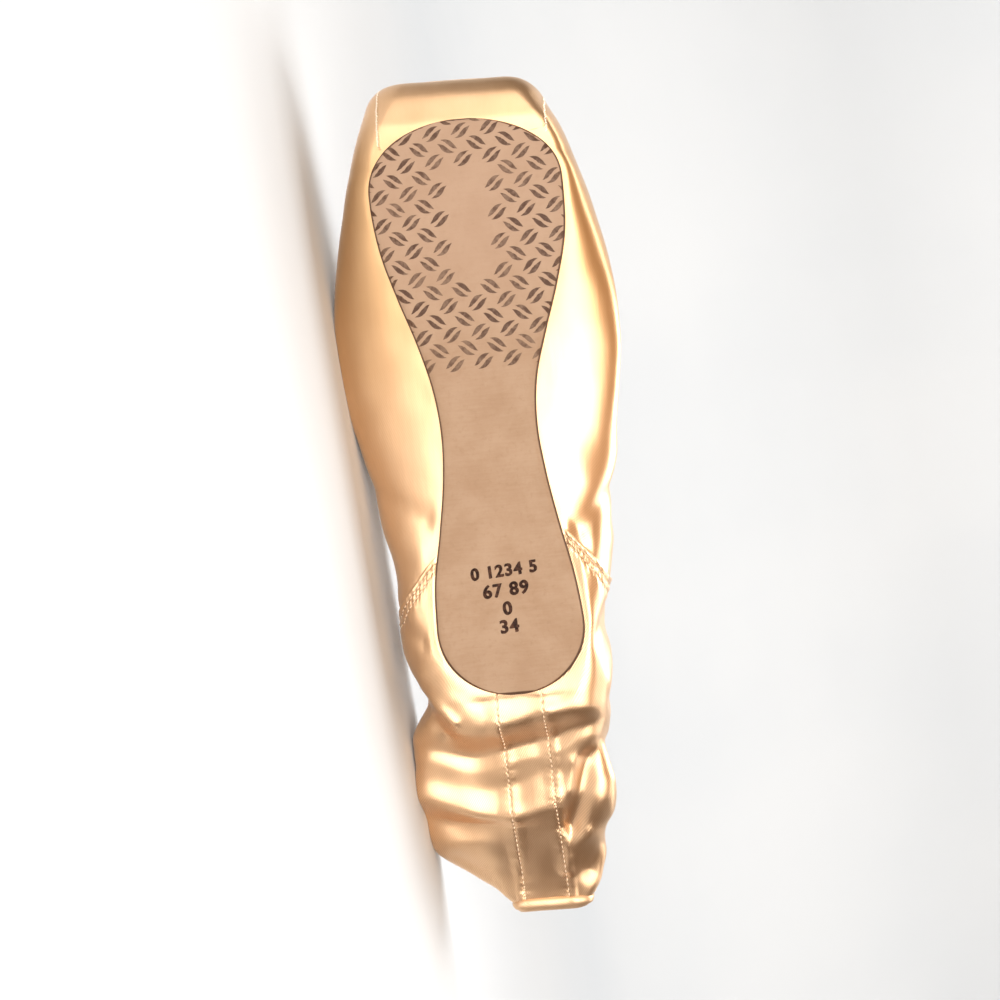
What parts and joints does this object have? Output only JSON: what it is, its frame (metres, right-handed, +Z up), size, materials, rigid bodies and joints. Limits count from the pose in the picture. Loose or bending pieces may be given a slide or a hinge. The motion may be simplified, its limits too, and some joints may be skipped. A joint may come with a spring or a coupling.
{
  "type": "pointe shoe",
  "caption": "Straight-lasted satin pointe shoe with a blocked toe, an inset leather sole, an open drawstring collar and a slack fabric heel, lying on its side.",
  "frame": {"origin": "centre of the bounding box, on the floor that the shoe's side lies on", "axes": "-X points to the toe and +X to the heel, along the line of the floor; the sole's tread faces -Y and the collar opens to +Y; +Z is up, through the shoe's width"},
  "size_m": [0.3556, 0.0616, 0.1172],
  "materials": {
    "sole_leather": "matt undyed leather with dark stamped tread dashes",
    "satin": "glossy peach satin",
    "sock_cloth": "plain cotton sock cloth",
    "binding_satin": "satin tape"
  },
  "bodies": {
    "root": {"outsole": "sole_leather", "upper": "satin", "insole": "sock_cloth", "collar_binding": "binding_satin"}
  },
  "joints": []
}
